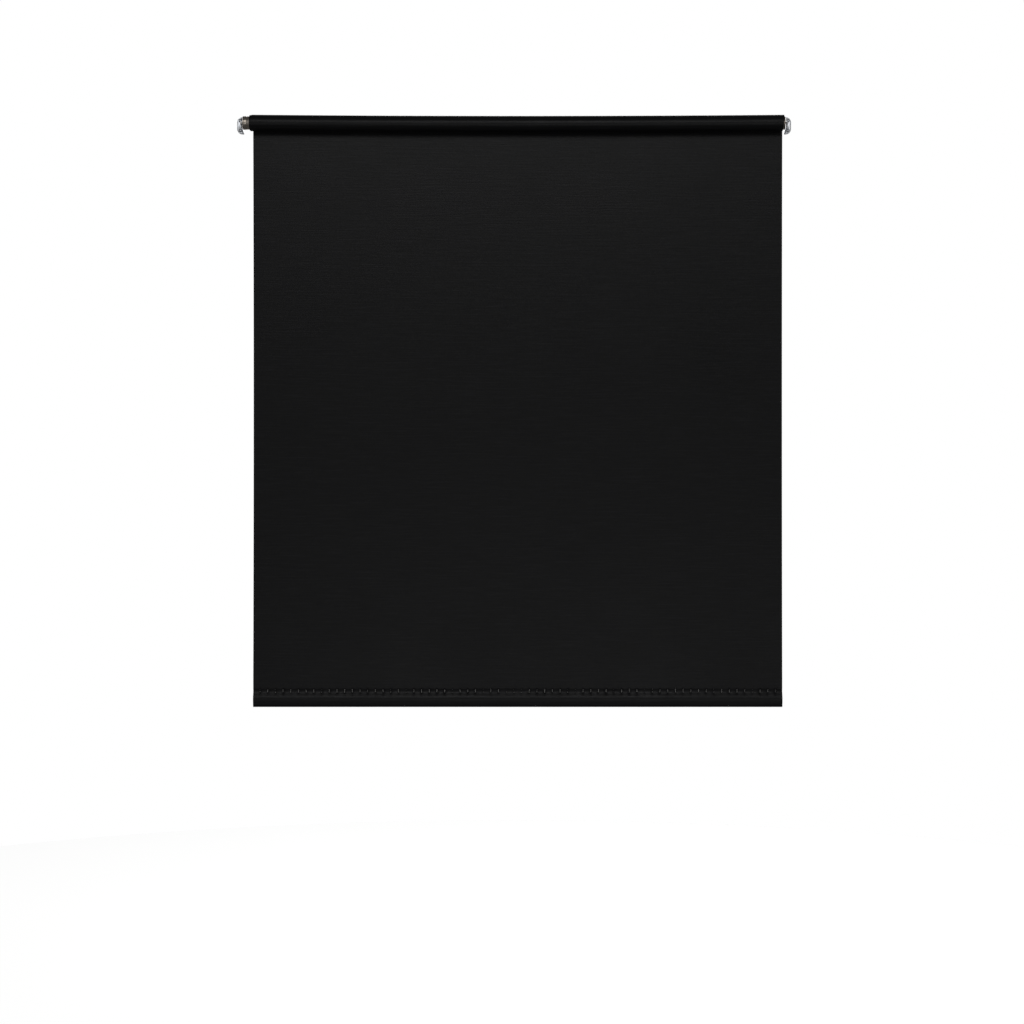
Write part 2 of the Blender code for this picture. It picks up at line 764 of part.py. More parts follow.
def hem_thread(finish, hem):
    """The seam's thread: it climbs one short tick at each stitch along the front of the seam."""
    path = bpy.data.curves.new("hem_thread", "CURVE")
    path.dimensions = "3D"
    path.bevel_depth = THREAD_RADIUS
    path.bevel_resolution = 0
    path.use_fill_caps = True
    stitches = int(CLOTH_WIDTH / STITCH_PITCH) - 1
    start = -stitches * STITCH_PITCH / 2
    y = -CLOTH_THICK - THREAD_RADIUS - FIT_GAP
    foot = POCKET_TOP - hem.location.z + THREAD_RADIUS
    points = []
    for i in range(stitches + 1):
        x = start + i * STITCH_PITCH
        points.append((x, y, foot))
        points.append((x + STITCH_LEAN, y, foot + STITCH_HEIGHT))
    line = path.splines.new("POLY")
    line.points.add(len(points) - 1)
    for point, place in zip(line.points, points):
        point.co = (*place, 1.0)
    path.materials.append(finish)
    made = bpy.data.objects.new("hem_thread", path)
    bpy.context.scene.collection.objects.link(made)
    made.parent = hem
    return made


def main():
    clear_scene()
    cloth = material("black_vinyl_cloth", (0.010, 0.010, 0.011), 0.55)
    thread = material("grey_thread", (0.20, 0.20, 0.21), 0.7)
    nickel = material("nickel_plated_steel", (0.62, 0.60, 0.57), 0.30, 1.0)
    zinc = material("zinc_plated_steel", (0.70, 0.70, 0.70), 0.38, 1.0)
    steel = material("bare_steel", (0.45, 0.44, 0.43), 0.40, 1.0)
    nylon = material("white_nylon", (0.80, 0.79, 0.75), 0.45)
    wood = material("pine", (0.60, 0.43, 0.26), 0.60)
    tape = material("clear_tape", (0.75, 0.72, 0.60), 0.35)

    axis = (0.0, -STANDOFF, 0.0)
    brackets = empty("brackets", (0.0, 0.0, 0.0))
    motor = empty("motor_axis", axis, brackets)
    roller = empty("roller_axis", axis, brackets)
    hem = empty("hem_centre", (0.0, CLOTH_MIDDLE_Y, POCKET_TOP), brackets)

    left = bracket("left_bracket", -1, EAR_LEFT, zinc, brackets)
    cut(left, slot_cutter(zinc, brackets))
    round_edges(left)
    right = bracket("right_bracket", 1, EAR_RIGHT, zinc, brackets)
    cut(right, pin_hole_cutter(zinc, brackets))
    round_edges(right)
    for hand, side, ear_x in (("left", -1, EAR_LEFT), ("right", 1, EAR_RIGHT)):
        for level, z in (("upper", SCREW_SPREAD / 2), ("lower", -SCREW_SPREAD / 2)):
            screw(f"{hand}_{level}_screw", side, ear_x, z, zinc, brackets)

    spindle(nickel, motor)
    ratchet(steel, motor)
    arbor(wood, motor)
    arbor_sleeve(steel, motor)
    torsion_spring(steel, motor)

    roller_tube(nickel, roller)
    left_ferrule(nickel, roller)
    spindle_bush(nylon, roller)
    pawl_guard(nickel, roller)
    spring_anchor(nylon, roller)
    right_end_plug(wood, roller)
    right_end_cap(nickel, roller)
    gudgeon_pin(nickel, roller)
    fixing_tape(tape, roller)
    wound_cloth(cloth, roller)
    for name, turn in (("upper", 0.0), ("lower", math.pi)):
        pivot_y, pivot_z = pawl_pivot(turn)
        pivot = empty(f"{name}_pawl_pivot", (0.0, pivot_y, pivot_z), roller, turn)
        pawl(f"{name}_pawl", steel, pivot)
        pawl_rivet(f"{name}_pawl_rivet", steel, pivot)

    hanging_cloth(cloth, hem)
    hem_pocket(cloth, hem)
    hem_slat(wood, hem)
    hem_thread(thread, hem)


main()
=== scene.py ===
"""The finished look of a cordless roller blind: black linen-embossed vinyl cloth on a spring roller,
hung between two stamped casing brackets, with a slat in a stitched hem pocket.

Metres, in the same frame as the solid model: X along the roller, Y towards the wall, +Z up.
"""

import math
import random

import bmesh
import bpy
import numpy as np
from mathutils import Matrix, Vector


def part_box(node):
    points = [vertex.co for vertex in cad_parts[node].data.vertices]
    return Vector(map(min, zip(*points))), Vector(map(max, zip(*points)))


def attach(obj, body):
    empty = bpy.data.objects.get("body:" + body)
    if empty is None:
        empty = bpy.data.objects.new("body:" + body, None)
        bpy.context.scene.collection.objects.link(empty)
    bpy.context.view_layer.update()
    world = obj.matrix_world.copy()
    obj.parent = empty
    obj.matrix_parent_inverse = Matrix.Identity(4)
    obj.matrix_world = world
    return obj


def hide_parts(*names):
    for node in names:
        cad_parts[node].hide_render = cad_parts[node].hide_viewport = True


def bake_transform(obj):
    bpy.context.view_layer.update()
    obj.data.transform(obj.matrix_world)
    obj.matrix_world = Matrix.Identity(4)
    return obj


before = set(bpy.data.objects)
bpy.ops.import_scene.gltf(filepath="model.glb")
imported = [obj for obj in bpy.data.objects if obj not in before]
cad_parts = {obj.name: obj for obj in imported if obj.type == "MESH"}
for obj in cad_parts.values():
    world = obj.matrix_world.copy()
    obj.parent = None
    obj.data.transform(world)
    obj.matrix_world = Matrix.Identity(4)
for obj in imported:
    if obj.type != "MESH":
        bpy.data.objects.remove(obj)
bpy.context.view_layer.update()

chance = random.Random(7)

# ---------------------------------------------------------------- places, from the solid model

WOUND_LOW, WOUND_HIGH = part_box("wound_cloth")
TUBE_LOW, TUBE_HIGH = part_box("roller_tube")
FERRULE_LOW, FERRULE_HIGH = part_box("left_ferrule")
GUARD_LOW, GUARD_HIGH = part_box("pawl_guard")
SPINDLE_LOW, SPINDLE_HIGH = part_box("spear_spindle")
SPRING_LOW, SPRING_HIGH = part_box("torsion_spring")
CAP_LOW, CAP_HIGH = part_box("right_end_cap")
PIN_LOW, PIN_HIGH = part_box("gudgeon_pin")
POCKET_LOW, POCKET_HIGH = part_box("hem_pocket")
SLAT_LOW, SLAT_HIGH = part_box("hem_slat")
THREAD_LOW, THREAD_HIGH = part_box("hem_thread")

AXIS_Y = (WOUND_LOW.y + WOUND_HIGH.y) / 2
ROLL_RADIUS = (WOUND_HIGH.z - WOUND_LOW.z) / 2
TUBE_RADIUS = (TUBE_HIGH.z - TUBE_LOW.z) / 2
COLLAR_RADIUS = (FERRULE_HIGH.z - FERRULE_LOW.z) / 2
SPINDLE_RADIUS = (SPINDLE_HIGH.z - SPINDLE_LOW.z) / 2
CAP_RADIUS = (CAP_HIGH.z - CAP_LOW.z) / 2
PIN_RADIUS = (PIN_HIGH.z - PIN_LOW.z) / 2
CLOTH_LEFT, CLOTH_RIGHT = WOUND_LOW.x, WOUND_HIGH.x
SEAM_TOP = POCKET_HIGH.z
HEM_FOOT = POCKET_LOW.z
HEM_Y = (POCKET_LOW.y + POCKET_HIGH.y) / 2
# Where the stitches go in, inside the thread's own ends
STITCH_FOOT, STITCH_HEAD = THREAD_LOW.z + 0.0004, THREAD_HIGH.z - 0.0002

# Real sizes that a box can't give
CLOTH_THICK = 0.00021
CLOTH_PITCH = 0.00024  # layer to layer in the roll
PLATE = 0.0015
BASE_CORNER = 0.0095
NOSE_RADIUS = 0.0090
SCREW_SPREAD = 0.0170
SCREW_HOLE = 0.0019
SPEAR_THICK = 0.0016
SLOT_HALF = 0.0011
TUBE_WALL = 0.0006
CENTRE_SAG = 0.0020  # a 36 inch roller bends this far at its middle
STITCH_PITCH = 0.0133
HEM_FALL = 0.704  # how much further down the hem goes


def sag(x):
    """How far the roller hangs below a straight line at x."""
    share = min(1.0, abs(x) / CLOTH_RIGHT)
    return -CENTRE_SAG * (1 - share * share)


# ---------------------------------------------------------------- materials


def colour(text):
    """A linear colour from sRGB hex."""
    parts = [int(text[i : i + 2], 16) / 255 for i in (1, 3, 5)]
    return (*[c / 12.92 if c <= 0.04045 else ((c + 0.055) / 1.055) ** 2.4 for c in parts], 1.0)


def add(tree, kind, values=(), links=(), **settings):
    """Adds a node: settings are its own, values its sockets' constants, links its sockets' sources."""
    made = tree.nodes.new(kind)
    for name, value in settings.items():
        setattr(made, name, value)
    for name, value in dict(values).items():
        made.inputs[name].default_value = value
    for name, source in dict(links).items():
        tree.links.new(source, made.inputs[name])
    return made


def finish_named(name, base, roughness, metallic=0.0, **sockets):
    """A material whose shader holds these constants; returns it with its tree and shader."""
    made = bpy.data.materials.new(name)
    made.use_nodes = True
    shader = made.node_tree.nodes["Principled BSDF"]
    shader.inputs["Base Color"].default_value = colour(base)
    shader.inputs["Roughness"].default_value = roughness
    shader.inputs["Metallic"].default_value = metallic
    for socket, value in sockets.items():
        shader.inputs[socket.replace("_", " ")].default_value = value
    return made, made.node_tree, shader


def ramp(tree, source, stops):
    """A colour ramp from source; stops are (position, sRGB hex)."""
    made = add(tree, "ShaderNodeValToRGB", links={"Fac": source})
    points = made.color_ramp.elements
    while len(points) < len(stops):
        points.new(0.5)
    for point, (place, text) in zip(points, stops):
        point.position = place
        point.color = colour(text)
    return made.outputs["Color"]


def noise(tree, place, **values):
    """Noise at a place, by the texture's own values."""
    return add(tree, "ShaderNodeTexNoise", values, {"Vector": place}).outputs["Fac"]


def wear(tree, shader, source, smoothest, roughest):
    """Lets a noise vary the roughness."""
    values = {"From Min": 0.3, "From Max": 0.7, "To Min": smoothest, "To Max": roughest}
    level = add(tree, "ShaderNodeMapRange", values, {"Value": source})
    tree.links.new(level.outputs["Result"], shader.inputs["Roughness"])


def relief(tree, shader, height, strength, distance):
    """Lets a noise raise the surface."""
    bump = add(tree, "ShaderNodeBump", {"Strength": strength, "Distance": distance}, {"Height": height})
    tree.links.new(bump.outputs[0], shader.inputs["Normal"])


def black_cloth():
    """Polyester cloth coated with matte PVC on both sides and embossed like linen: nearly black and
    dull, with long faint streaks across where the slubs of the emboss catch the light; the streaks are
    bumped, and also painted lighter in colour as a painted highlight. The emboss scatters most of what
    plain PVC would mirror, so its specular level is low."""
    made, tree, shader = finish_named(
        "black vinyl coated cloth, linen embossed", "#161617", 0.34, IOR=1.53, Specular_IOR_Level=0.2
    )
    place = add(tree, "ShaderNodeUVMap", uv_map="cloth_metres").outputs["UV"]
    # Slubs: 60 mm long and 2.6 mm high, as on coarse linen.
    long_way = add(tree, "ShaderNodeMapping", {"Scale": (17, 390, 1)}, {"Vector": place})
    slubs = noise(tree, long_way.outputs[0], Scale=1.0, Detail=4.0, Roughness=0.62)
    # Threads: the real ones are 0.5 mm apart, drawn 1.1 mm apart so that they show.
    fine_way = add(tree, "ShaderNodeMapping", {"Scale": (150, 900, 1)}, {"Vector": place})
    threads = noise(tree, fine_way.outputs[0], Scale=1.0, Detail=2.0, Roughness=0.5)
    warp_way = add(tree, "ShaderNodeMapping", {"Scale": (900, 45, 1)}, {"Vector": place})
    warps = noise(tree, warp_way.outputs[0], Scale=1.0, Detail=1.0)
    # Handling: patches a hand wide where the coating is polished a little.
    patches = noise(tree, place, Scale=7.0, Detail=3.0)
    # The colour is painted lighter along the slubs: a painted highlight where the emboss catches the light,
    # on top of the slubs' real bump.
    tree.links.new(
        ramp(tree, slubs, [(0.30, "#121213"), (0.52, "#161617"), (0.70, "#1d1d1f")]),
        shader.inputs["Base Color"],
    )
    wear(tree, shader, patches, 0.31, 0.37)
    weave = add(tree, "ShaderNodeMath", {1: 0.5}, {0: warps}, operation="MULTIPLY")
    woven = add(tree, "ShaderNodeMath", {}, {0: threads, 1: weave.outputs[0]}, operation="ADD")
    fine = add(
        tree, "ShaderNodeBump", {"Strength": 0.35, "Distance": 0.00025}, {"Height": woven.outputs[0]}
    )
    coarse = add(
        tree,
        "ShaderNodeBump",
        {"Strength": 0.45, "Distance": 0.0004},
        {"Height": slubs, "Normal": fine.outputs[0]},
    )
    tree.links.new(coarse.outputs[0], shader.inputs["Normal"])
    return made


def grey_thread():
    """Twisted polyester sewing thread: soft, a little shiny, with the ply's slant across it."""
    made, tree, shader = finish_named(
        "pale grey polyester thread, twisted", "#c8c5c2", 0.62, Sheen_Weight=0.3
    )
    place = add(tree, "ShaderNodeTexCoord").outputs["Object"]
    slant = add(tree, "ShaderNodeMapping", {"Rotation": (0, 0.7, 0)}, {"Vector": place})
    # Two plies, 0.6 mm a turn.
    plies = add(
        tree,
        "ShaderNodeTexWave",
        {"Scale": 260.0, "Distortion": 1.2, "Detail": 1.0},
        {"Vector": slant.outputs[0]},
        bands_direction="Z",
    )
    # The darker bands along the plies are painted shade in the grooves between them, on top of the plies'
    # relief.
    tree.links.new(
        ramp(tree, plies.outputs["Fac"], [(0.2, "#a5a19e"), (0.8, "#d8d6d3")]), shader.inputs["Base Color"]
    )
    relief(tree, shader, plies.outputs["Fac"], 0.5, 0.0001)
    return made


def zinc_plate():
    """Bright zinc electroplate on stamped steel: cold silver, a little cloudy, rubbed by tumbling."""
    made, tree, shader = finish_named("bright zinc plated steel, stamped and tumbled", "#e2e5e9", 0.3, 1.0)
    place = add(tree, "ShaderNodeTexCoord").outputs["Object"]
    # Clouds 4 mm wide, and rub marks 0.5 mm wide.
    clouds = noise(tree, place, Scale=250.0, Detail=4.0)
    rubs = noise(tree, place, Scale=1900.0, Detail=2.0, Distortion=0.6)
    tree.links.new(
        ramp(tree, clouds, [(0.3, "#d6dae0"), (0.6, "#e6e8eb"), (0.8, "#ecebe7")]),
        shader.inputs["Base Color"],
    )
    wear(tree, shader, clouds, 0.24, 0.36)
    relief(tree, shader, rubs, 0.25, 0.00005)
    return made


def nickel_plate():
    """Nickel plate on drawn steel tube: warm grey, bright, with fine rings from the polishing belt."""
    made, tree, shader = finish_named("nickel plated steel, drawn and belt polished", "#dbd0c3", 0.28, 1.0)
    place = add(tree, "ShaderNodeTexCoord").outputs["Object"]
    # Belt rings 0.25 mm apart along the roller, and stains 5 mm wide.
    along = add(tree, "ShaderNodeMapping", {"Scale": (4000, 60, 60)}, {"Vector": place})
    rings = noise(tree, along.outputs[0], Scale=1.0, Detail=2.0)
    stains = noise(tree, place, Scale=210.0, Detail=5.0)
    tree.links.new(
        ramp(tree, stains, [(0.3, "#c6bbad"), (0.55, "#dbd0c3"), (0.8, "#e6ddd2")]),
        shader.inputs["Base Color"],
    )
    wear(tree, shader, rings, 0.20, 0.34)
    relief(tree, shader, rings, 0.2, 0.00004)
    return made


def bare_steel(name, base, dark):
    """Blanked or drawn steel with a film of oil: mid grey, blotched, with fine burnish lines."""
    made, tree, shader = finish_named(name, base, 0.36, 1.0)
    place = add(tree, "ShaderNodeTexCoord").outputs["Object"]
    blots = noise(tree, place, Scale=420.0, Detail=5.0)
    lines = add(tree, "ShaderNodeMapping", {"Scale": (300, 2600, 2600)}, {"Vector": place})
    burnish = noise(tree, lines.outputs[0], Scale=1.0, Detail=2.0)
    tree.links.new(ramp(tree, blots, [(0.3, dark), (0.7, base)]), shader.inputs["Base Color"])
    wear(tree, shader, burnish, 0.28, 0.5)
    relief(tree, shader, burnish, 0.2, 0.00004)
    return made


def nylon():
    """Moulded natural nylon: milky, waxy, with a faint mould texture."""
    made, tree, shader = finish_named(
        "natural nylon, moulded", "#e6e1d3", 0.42, IOR=1.53, Subsurface_Weight=0.15, Subsurface_Scale=0.002
    )
    place = add(tree, "ShaderNodeTexCoord").outputs["Object"]
    flow = noise(tree, place, Scale=300.0, Detail=3.0)
    grain = noise(tree, place, Scale=2500.0)
    tree.links.new(
        ramp(tree, flow, [(0.35, "#dcd6c6"), (0.65, "#ebe7db")]), shader.inputs["Base Color"]
    )
    relief(tree, shader, grain, 0.2, 0.00005)
    return made


def pine():
    """Planed pine: pale straw with darker late wood in lines along the length, dull and dry."""
    made, tree, shader = finish_named("pine, planed", "#d8b688", 0.62)
    place = add(tree, "ShaderNodeTexCoord").outputs["Object"]
    # Growth rings 1.6 mm apart, long along the grain; pores 0.3 mm wide and 6 mm long.
    ring_way = add(tree, "ShaderNodeMapping", {"Scale": (9, 620, 620)}, {"Vector": place})
    rings = noise(tree, ring_way.outputs[0], Scale=1.0, Detail=3.0, Distortion=0.4)
    pore_way = add(tree, "ShaderNodeMapping", {"Scale": (160, 3300, 3300)}, {"Vector": place})
    pores = noise(tree, pore_way.outputs[0], Scale=1.0, Detail=2.0)
    tree.links.new(
        ramp(tree, rings, [(0.35, "#e0c194"), (0.55, "#d2ab77"), (0.68, "#a9743f")]),
        shader.inputs["Base Color"],
    )
    relief(tree, shader, pores, 0.35, 0.0001)
    return made


def clear_tape():
    """Polypropylene packing tape: a clear glossy film, faintly yellow from its glue."""
    made, tree, shader = finish_named(
        "clear polypropylene tape", "#e9e2c8", 0.18, IOR=1.49, Transmission_Weight=0.75
    )
    place = add(tree, "ShaderNodeTexCoord").outputs["Object"]
    glue = noise(tree, place, Scale=160.0, Detail=4.0)
    tree.links.new(
        ramp(tree, glue, [(0.3, "#e2d9b8"), (0.7, "#f1ecd9")]), shader.inputs["Base Color"]
    )
    wear(tree, shader, glue, 0.12, 0.35)
    return made


CLOTH = black_cloth()
THREAD = grey_thread()
ZINC = zinc_plate()
NICKEL = nickel_plate()
STEEL = bare_steel("bare steel, blanked and oiled", "#8f8b87", "#6d6966")
SPRING_STEEL = bare_steel("spring steel, drawn and oil tempered", "#6a625b", "#3f3a36")
NYLON = nylon()
PINE = pine()
TAPE = clear_tape()

# ---------------------------------------------------------------- ways of working


def alone(obj):
    bpy.ops.object.select_all(action="DESELECT")
    obj.select_set(True)
    bpy.context.view_layer.objects.active = obj


def open_up(obj):
    """Into edit mode with nothing selected."""
    alone(obj)
    bpy.ops.object.mode_set(mode="EDIT")
    bpy.ops.mesh.select_all(action="DESELECT")


def close_up():
    bpy.ops.object.mode_set(mode="OBJECT")


def pick(obj, kind, rule):
    """In edit mode, selects the verts, edges or faces that the rule holds for."""
    bpy.ops.mesh.select_mode(type={"verts": "VERT", "edges": "EDGE", "faces": "FACE"}[kind])
    bpy.ops.mesh.select_all(action="DESELECT")
    shape = bmesh.from_edit_mesh(obj.data)
    for part in getattr(shape, kind):
        if rule(part):
            part.select_set(True)
    bmesh.update_edit_mesh(obj.data)


def middle(edge):
    return (edge.verts[0].co + edge.verts[1].co) / 2


def runs_along(edge, axis):
    step = edge.verts[1].co - edge.verts[0].co
    return abs(step[axis]) > 0.95 * step.length


def set_place(obj):
    """Puts the object's place, turn and size into its mesh."""
    alone(obj)
    bpy.ops.object.transform_apply(location=True, rotation=True, scale=True)


def apply_all(obj):
    alone(obj)
    for change in list(obj.modifiers):
        bpy.ops.object.modifier_apply(modifier=change.name)


def block(name, low, high):
    centre = [(a + b) / 2 for a, b in zip(low, high)]
    bpy.ops.object.select_all(action="DESELECT")
    bpy.ops.mesh.primitive_cube_add(size=1, location=centre, scale=[b - a for a, b in zip(low, high)])
    made = bpy.context.object
    made.name = name
    set_place(made)
    return made


def rod(name, start, end, radius, sides=48):
    """A cylinder from one point to another."""
    start, end = Vector(start), Vector(end)
    step = end - start
    bpy.ops.object.select_all(action="DESELECT")
    bpy.ops.mesh.primitive_cylinder_add(
        vertices=sides,
        radius=radius,
        depth=step.length,
        location=(start + end) / 2,
        rotation=step.to_track_quat("Z", "Y").to_euler(),
    )
    made = bpy.context.object
    made.name = name
    set_place(made)
    return made


def take_away(body, cutter):
    change = body.modifiers.new("cut", "BOOLEAN")
    change.operation = "DIFFERENCE"
    change.solver = "EXACT"
    change.object = cutter
    apply_all(body)
    bpy.data.objects.remove(cutter)


def soften(body, width, segments=2, angle=32):
    """Rounds every sharp rim and smooths the rest."""
    change = body.modifiers.new("rims", "BEVEL")
    change.width = width
    change.segments = segments
    change.limit_method = "ANGLE"
    change.angle_limit = math.radians(angle)
    change.use_clamp_overlap = True
    apply_all(body)
    alone(body)
    bpy.ops.object.shade_smooth_by_angle(angle=math.radians(angle))


def turned(name, outline, ring, sides=72):
    """A turned piece about the roller's axis: a circle is drawn out through (x, radius) steps. A
    ring's outline closes on itself, and a solid's ends are filled."""
    (x, radius), *steps = outline
    if ring:
        steps.append(outline[0])
    bpy.ops.object.select_all(action="DESELECT")
    bpy.ops.mesh.primitive_circle_add(
        vertices=sides, radius=radius, location=(x, AXIS_Y, 0), rotation=(0, math.pi / 2, 0)
    )
    made = bpy.context.object
    made.name = name
    set_place(made)
    open_up(made)
    bpy.ops.mesh.select_all(action="SELECT")
    for next_x, next_radius in steps:
        bpy.ops.mesh.extrude_region_move(TRANSFORM_OT_translate={"value": (next_x - x, 0, 0)})
        share = next_radius / radius
        bpy.ops.transform.resize(value=(1, share, share), center_override=(next_x, AXIS_Y, 0))
        x, radius = next_x, next_radius
    bpy.ops.mesh.select_all(action="SELECT")
    if ring:
        bpy.ops.mesh.remove_doubles(threshold=1e-6)
    else:
        for end in (outline[0][0], outline[-1][0]):
            pick(made, "edges", lambda edge: edge.is_boundary and abs(middle(edge).x - end) < 1e-6)
            bpy.ops.mesh.edge_face_add()
            bpy.ops.mesh.poke()
    bpy.ops.mesh.select_all(action="SELECT")
    bpy.ops.mesh.normals_make_consistent(inside=False)
    close_up()
    return made


def merged_copy(node, name):
    """A copy of a solid with its loose triangles joined and its flat faces made whole."""
    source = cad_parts[node]
    made = bpy.data.objects.new(name, source.data.copy())
    bpy.context.scene.collection.objects.link(made)
    made.data.materials.clear()
    open_up(made)
    bpy.ops.mesh.select_all(action="SELECT")
    bpy.ops.mesh.remove_doubles(threshold=1e-6)
    bpy.ops.mesh.dissolve_limited(angle_limit=math.radians(0.5))
    bpy.ops.mesh.select_all(action="SELECT")
    bpy.ops.mesh.normals_make_consistent(inside=False)
    close_up()
    return made


def hang(obj, slices=0):
    """Bends a piece inside the roller down to the roller's own sag, after slicing it along X."""
    if slices:
        xs = [v.co.x for v in obj.data.vertices]
        open_up(obj)
        for i in range(1, slices):
            x = min(xs) + (max(xs) - min(xs)) * i / slices
            bpy.ops.mesh.select_all(action="SELECT")
            bpy.ops.mesh.bisect(plane_co=(x, 0, 0), plane_no=(1, 0, 0))
        close_up()
    for v in obj.data.vertices:
        v.co.z += sag(v.co.x)


def woven(name, points, lengths=None, closed=False):
    """A mesh from rows of points; closed joins the last column to the first. Its map is in metres:
    across, and along the rows by lengths."""
    rows, columns = len(points), len(points[0])
    made_of = [tuple(p) for row in points for p in row]
    faces = []
    for i in range(rows - 1):
        for j in range(columns if closed else columns - 1):
            k = (j + 1) % columns
            faces.append((i * columns + j, i * columns + k, (i + 1) * columns + k, (i + 1) * columns + j))
    mesh = bpy.data.meshes.new(name)
    mesh.from_pydata(made_of, [], faces)
    made = bpy.data.objects.new(name, mesh)
    bpy.context.scene.collection.objects.link(made)
    if lengths is not None:
        spots = mesh.uv_layers.new(name="cloth_metres")
        for loop in mesh.loops:
            i, j = divmod(loop.vertex_index, columns)
            spots.data[loop.index].uv = (points[i][j][0], lengths[i])
    return made


def dress(obj, material, body, slot, *stands_for):
    """Gives a finished piece its material and its body, and hides the solids that it stands for."""
    obj.data.materials.clear()
    obj.data.materials.append(material)
    if body:
        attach(obj, body)
    if stands_for:
        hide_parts(*stands_for)
    return obj


def shade(obj, angle=40):
    alone(obj)
    bpy.ops.object.shade_smooth_by_angle(angle=math.radians(angle))


# ---------------------------------------------------------------- brackets and their screws


def stamped_bracket(name, node, side):
    """A plate blanked, bent to an L and pierced: an ear with a round nose, and a base with two
    rounded corners on the casing. side is -1 at the left and 1 at the right."""
    low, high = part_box(node)
    ear = high.x if side < 0 else low.x
    outer = low.x if side < 0 else high.x
    half = high.z
    front = low.y
    near, far = sorted((ear, ear + side * PLATE))
    made = block(name, (near, front, -half), (far, 0, half))
    open_up(made)
    bpy.ops.mesh.select_all(action="SELECT")
    bpy.ops.mesh.bisect(plane_co=(0, -PLATE, 0), plane_no=(0, 1, 0))
    pick(made, "faces", lambda f: f.normal.x * side > 0.9 and f.calc_center_median().y > -PLATE)
    bpy.ops.mesh.extrude_region_move(TRANSFORM_OT_translate={"value": (outer - ear - side * PLATE, 0, 0)})
    # The ear closes from the base's height to a line that its nose touches.
    reach = math.hypot(AXIS_Y, half)
    slope = math.atan2(half, -AXIS_Y) - math.asin(NOSE_RADIUS / reach)
    tip = half + front * math.tan(slope)
    pick(made, "faces", lambda f: f.normal.y < -0.9 and f.calc_center_median().y < front + 1e-5)
    bpy.ops.transform.resize(value=(1, 1, tip / half), center_override=(0, front, 0))
    # The bend, outside and inside.
    for x, y, radius in ((ear, 0, 0.0022), (ear + side * PLATE, -PLATE, 0.0007)):
        pick(
            made,
            "edges",
            lambda e: runs_along(e, 2) and abs(middle(e).x - x) < 1e-5 and abs(middle(e).y - y) < 1e-5,
        )
        bpy.ops.mesh.bevel(offset=radius, segments=6, affect="EDGES")
    # The nose, and the base's outer corners.
    pick(made, "edges", lambda e: runs_along(e, 0) and abs(middle(e).y - front) < 1e-5)
    bpy.ops.mesh.bevel(offset=tip * 0.995, segments=12, affect="EDGES")
    pick(made, "edges", lambda e: runs_along(e, 1) and abs(middle(e).x - outer) < 1e-5)
    bpy.ops.mesh.bevel(offset=BASE_CORNER, segments=12, affect="EDGES")
    close_up()
    screw_x = ear + side * (PLATE + abs(outer - ear)) / 2
    for z in (-SCREW_SPREAD / 2, SCREW_SPREAD / 2):
        take_away(made, rod("screw hole", (screw_x, -0.01, z), (screw_x, 0.01, z), SCREW_HOLE, 32))
    if side < 0:
        foot = -SPINDLE_RADIUS - 0.0003 + SLOT_HALF
        near, far = ear - 0.005, ear + 0.005
        slot = block("slot", (near, AXIS_Y - SLOT_HALF, foot), (far, AXIS_Y + SLOT_HALF, half))
        take_away(made, slot)
        take_away(made, rod("slot foot", (near, AXIS_Y, foot), (far, AXIS_Y, foot), SLOT_HALF, 32))
    else:
        near, far = ear - 0.005, ear + 0.005
        take_away(made, rod("pin hole", (near, AXIS_Y, 0), (far, AXIS_Y, 0), PIN_RADIUS + 0.0001, 40))
    soften(made, 0.00042, 3, 38)
    return dress(made, ZINC, "brackets", "zinc_plate", node)


